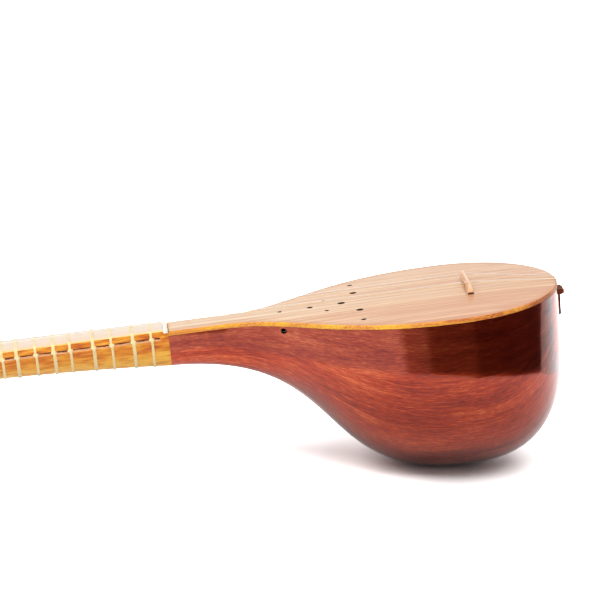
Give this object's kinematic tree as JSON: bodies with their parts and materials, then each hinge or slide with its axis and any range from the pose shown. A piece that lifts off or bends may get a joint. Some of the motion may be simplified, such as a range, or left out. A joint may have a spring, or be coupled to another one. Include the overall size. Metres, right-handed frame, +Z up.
{
  "type": "setar",
  "caption": "Long-necked lute with a ribbed pear-shaped bowl, a thin soundboard with small sound holes, tied gut frets, turning pegs and strings.",
  "frame": {"origin": "middle of the bounding box at the height of the surface that the instrument lies on", "axes": "+X towards the tail of the bowl, along the instrument; +Z up; -Y is the side with the knots of the frets and the two side pegs"},
  "size_m": [0.8152, 0.1546, 0.1346],
  "materials": {
    "mulberry": "high-gloss red-brown varnish over fine lengthwise grain",
    "soundboard_wood": "pale wood under a thin satin varnish",
    "walnut": "orange-brown wood, clear gloss varnish",
    "boxwood": "smooth pale yellow wood, satin",
    "bone": "polished white bone",
    "gut": "cream translucent gut",
    "rosewood": "dark brown turned wood, polished",
    "spruce": "bare light wood",
    "steel": "bright drawn wire",
    "bronze": "bright bronze wire"
  },
  "bodies": {
    "root": {"rib_1": "mulberry", "rib_2": "mulberry", "rib_3": "mulberry", "rib_4": "mulberry", "rib_5": "mulberry", "rib_6": "mulberry", "rib_7": "mulberry", "rib_8": "mulberry", "rib_9": "mulberry", "soundboard": "soundboard_wood", "neck_block": "spruce", "tail_block": "spruce", "brace_1": "spruce", "brace_2": "spruce", "neck": "walnut", "fingerboard": "boxwood", "end_strip": "bone", "nut": "bone", "bridge": "boxwood", "tailpiece": "rosewood", "head": "walnut", "string_1": "steel", "string_2": "bronze", "string_3": "steel", "string_4": "bronze"},
    "fret_1_body": {"fret_1": "gut"},
    "fret_2_body": {"fret_2": "gut"},
    "fret_3_body": {"fret_3": "gut"},
    "fret_4_body": {"fret_4": "gut"},
    "fret_5_body": {"fret_5": "gut"},
    "fret_6_body": {"fret_6": "gut"},
    "fret_7_body": {"fret_7": "gut"},
    "fret_8_body": {"fret_8": "gut"},
    "fret_9_body": {"fret_9": "gut"},
    "fret_10_body": {"fret_10": "gut"},
    "fret_11_body": {"fret_11": "gut"},
    "fret_12_body": {"fret_12": "gut"},
    "fret_13_body": {"fret_13": "gut"},
    "fret_14_body": {"fret_14": "gut"},
    "fret_15_body": {"fret_15": "gut"},
    "fret_16_body": {"fret_16": "gut"},
    "fret_17_body": {"fret_17": "gut"},
    "fret_18_body": {"fret_18": "gut"},
    "fret_19_body": {"fret_19": "gut"},
    "fret_20_body": {"fret_20": "gut"},
    "fret_21_body": {"fret_21": "gut"},
    "fret_22_body": {"fret_22": "gut"},
    "fret_23_body": {"fret_23": "gut"},
    "fret_24_body": {"fret_24": "gut"},
    "fret_25_body": {"fret_25": "gut"},
    "fret_26_body": {"fret_26": "gut"},
    "peg_1_body": {"peg_1": "rosewood"},
    "peg_2_body": {"peg_2": "rosewood"},
    "peg_3_body": {"peg_3": "rosewood"},
    "peg_4_body": {"peg_4": "rosewood"}
  },
  "joints": [
    {"name": "peg_1_turn", "type": "hinge", "parent": "root", "child": "peg_1_body", "pos_m": [-0.36674, 0.0065, 0.008], "axis": [-0.1344, 0, 0.9909], "continuous": true},
    {"name": "peg_2_turn", "type": "hinge", "parent": "root", "child": "peg_2_body", "pos_m": [-0.33503, -0.0015, 0.0123], "axis": [-0.1344, 0, 0.9909], "continuous": true},
    {"name": "peg_3_turn", "type": "hinge", "parent": "root", "child": "peg_3_body", "pos_m": [-0.3519, 0.014, 0.01758], "axis": [0, -1, 0], "continuous": true},
    {"name": "peg_4_turn", "type": "hinge", "parent": "root", "child": "peg_4_body", "pos_m": [-0.38361, 0.014, 0.01328], "axis": [0, -1, 0], "continuous": true},
    {"name": "fret_1_slide", "type": "slide", "parent": "root", "child": "fret_1_body", "axis": [0.9909, 0, 0.1344], "range_m": [-0.002, 0.002]},
    {"name": "fret_2_slide", "type": "slide", "parent": "root", "child": "fret_2_body", "axis": [0.9909, 0, 0.1344], "range_m": [-0.002, 0.002]},
    {"name": "fret_3_slide", "type": "slide", "parent": "root", "child": "fret_3_body", "axis": [0.9909, 0, 0.1344], "range_m": [-0.002, 0.002]},
    {"name": "fret_4_slide", "type": "slide", "parent": "root", "child": "fret_4_body", "axis": [0.9909, 0, 0.1344], "range_m": [-0.002, 0.002]},
    {"name": "fret_5_slide", "type": "slide", "parent": "root", "child": "fret_5_body", "axis": [0.9909, 0, 0.1344], "range_m": [-0.002, 0.002]},
    {"name": "fret_6_slide", "type": "slide", "parent": "root", "child": "fret_6_body", "axis": [0.9909, 0, 0.1344], "range_m": [-0.002, 0.002]},
    {"name": "fret_7_slide", "type": "slide", "parent": "root", "child": "fret_7_body", "axis": [0.9909, 0, 0.1344], "range_m": [-0.002, 0.002]},
    {"name": "fret_8_slide", "type": "slide", "parent": "root", "child": "fret_8_body", "axis": [0.9909, 0, 0.1344], "range_m": [-0.002, 0.002]},
    {"name": "fret_9_slide", "type": "slide", "parent": "root", "child": "fret_9_body", "axis": [0.9909, 0, 0.1344], "range_m": [-0.002, 0.002]},
    {"name": "fret_10_slide", "type": "slide", "parent": "root", "child": "fret_10_body", "axis": [0.9909, 0, 0.1344], "range_m": [-0.002, 0.002]},
    {"name": "fret_11_slide", "type": "slide", "parent": "root", "child": "fret_11_body", "axis": [0.9909, 0, 0.1344], "range_m": [-0.002, 0.002]},
    {"name": "fret_12_slide", "type": "slide", "parent": "root", "child": "fret_12_body", "axis": [0.9909, 0, 0.1344], "range_m": [-0.002, 0.002]},
    {"name": "fret_13_slide", "type": "slide", "parent": "root", "child": "fret_13_body", "axis": [0.9909, 0, 0.1344], "range_m": [-0.002, 0.002]},
    {"name": "fret_14_slide", "type": "slide", "parent": "root", "child": "fret_14_body", "axis": [0.9909, 0, 0.1344], "range_m": [-0.002, 0.002]},
    {"name": "fret_15_slide", "type": "slide", "parent": "root", "child": "fret_15_body", "axis": [0.9909, 0, 0.1344], "range_m": [-0.002, 0.002]},
    {"name": "fret_16_slide", "type": "slide", "parent": "root", "child": "fret_16_body", "axis": [0.9909, 0, 0.1344], "range_m": [-0.002, 0.002]},
    {"name": "fret_17_slide", "type": "slide", "parent": "root", "child": "fret_17_body", "axis": [0.9909, 0, 0.1344], "range_m": [-0.002, 0.002]},
    {"name": "fret_18_slide", "type": "slide", "parent": "root", "child": "fret_18_body", "axis": [0.9909, 0, 0.1344], "range_m": [-0.002, 0.002]},
    {"name": "fret_19_slide", "type": "slide", "parent": "root", "child": "fret_19_body", "axis": [0.9909, 0, 0.1344], "range_m": [-0.002, 0.002]},
    {"name": "fret_20_slide", "type": "slide", "parent": "root", "child": "fret_20_body", "axis": [0.9909, 0, 0.1344], "range_m": [-0.002, 0.002]},
    {"name": "fret_21_slide", "type": "slide", "parent": "root", "child": "fret_21_body", "axis": [0.9909, 0, 0.1344], "range_m": [-0.002, 0.002]},
    {"name": "fret_22_slide", "type": "slide", "parent": "root", "child": "fret_22_body", "axis": [0.9909, 0, 0.1344], "range_m": [-0.002, 0.002]},
    {"name": "fret_23_slide", "type": "slide", "parent": "root", "child": "fret_23_body", "axis": [0.9909, 0, 0.1344], "range_m": [-0.002, 0.002]},
    {"name": "fret_24_slide", "type": "slide", "parent": "root", "child": "fret_24_body", "axis": [0.9909, 0, 0.1344], "range_m": [-0.002, 0.002]},
    {"name": "fret_25_slide", "type": "slide", "parent": "root", "child": "fret_25_body", "axis": [0.9909, 0, 0.1344], "range_m": [-0.002, 0.002]},
    {"name": "fret_26_slide", "type": "slide", "parent": "root", "child": "fret_26_body", "axis": [0.9909, 0, 0.1344], "range_m": [-0.002, 0.002]}
  ]
}
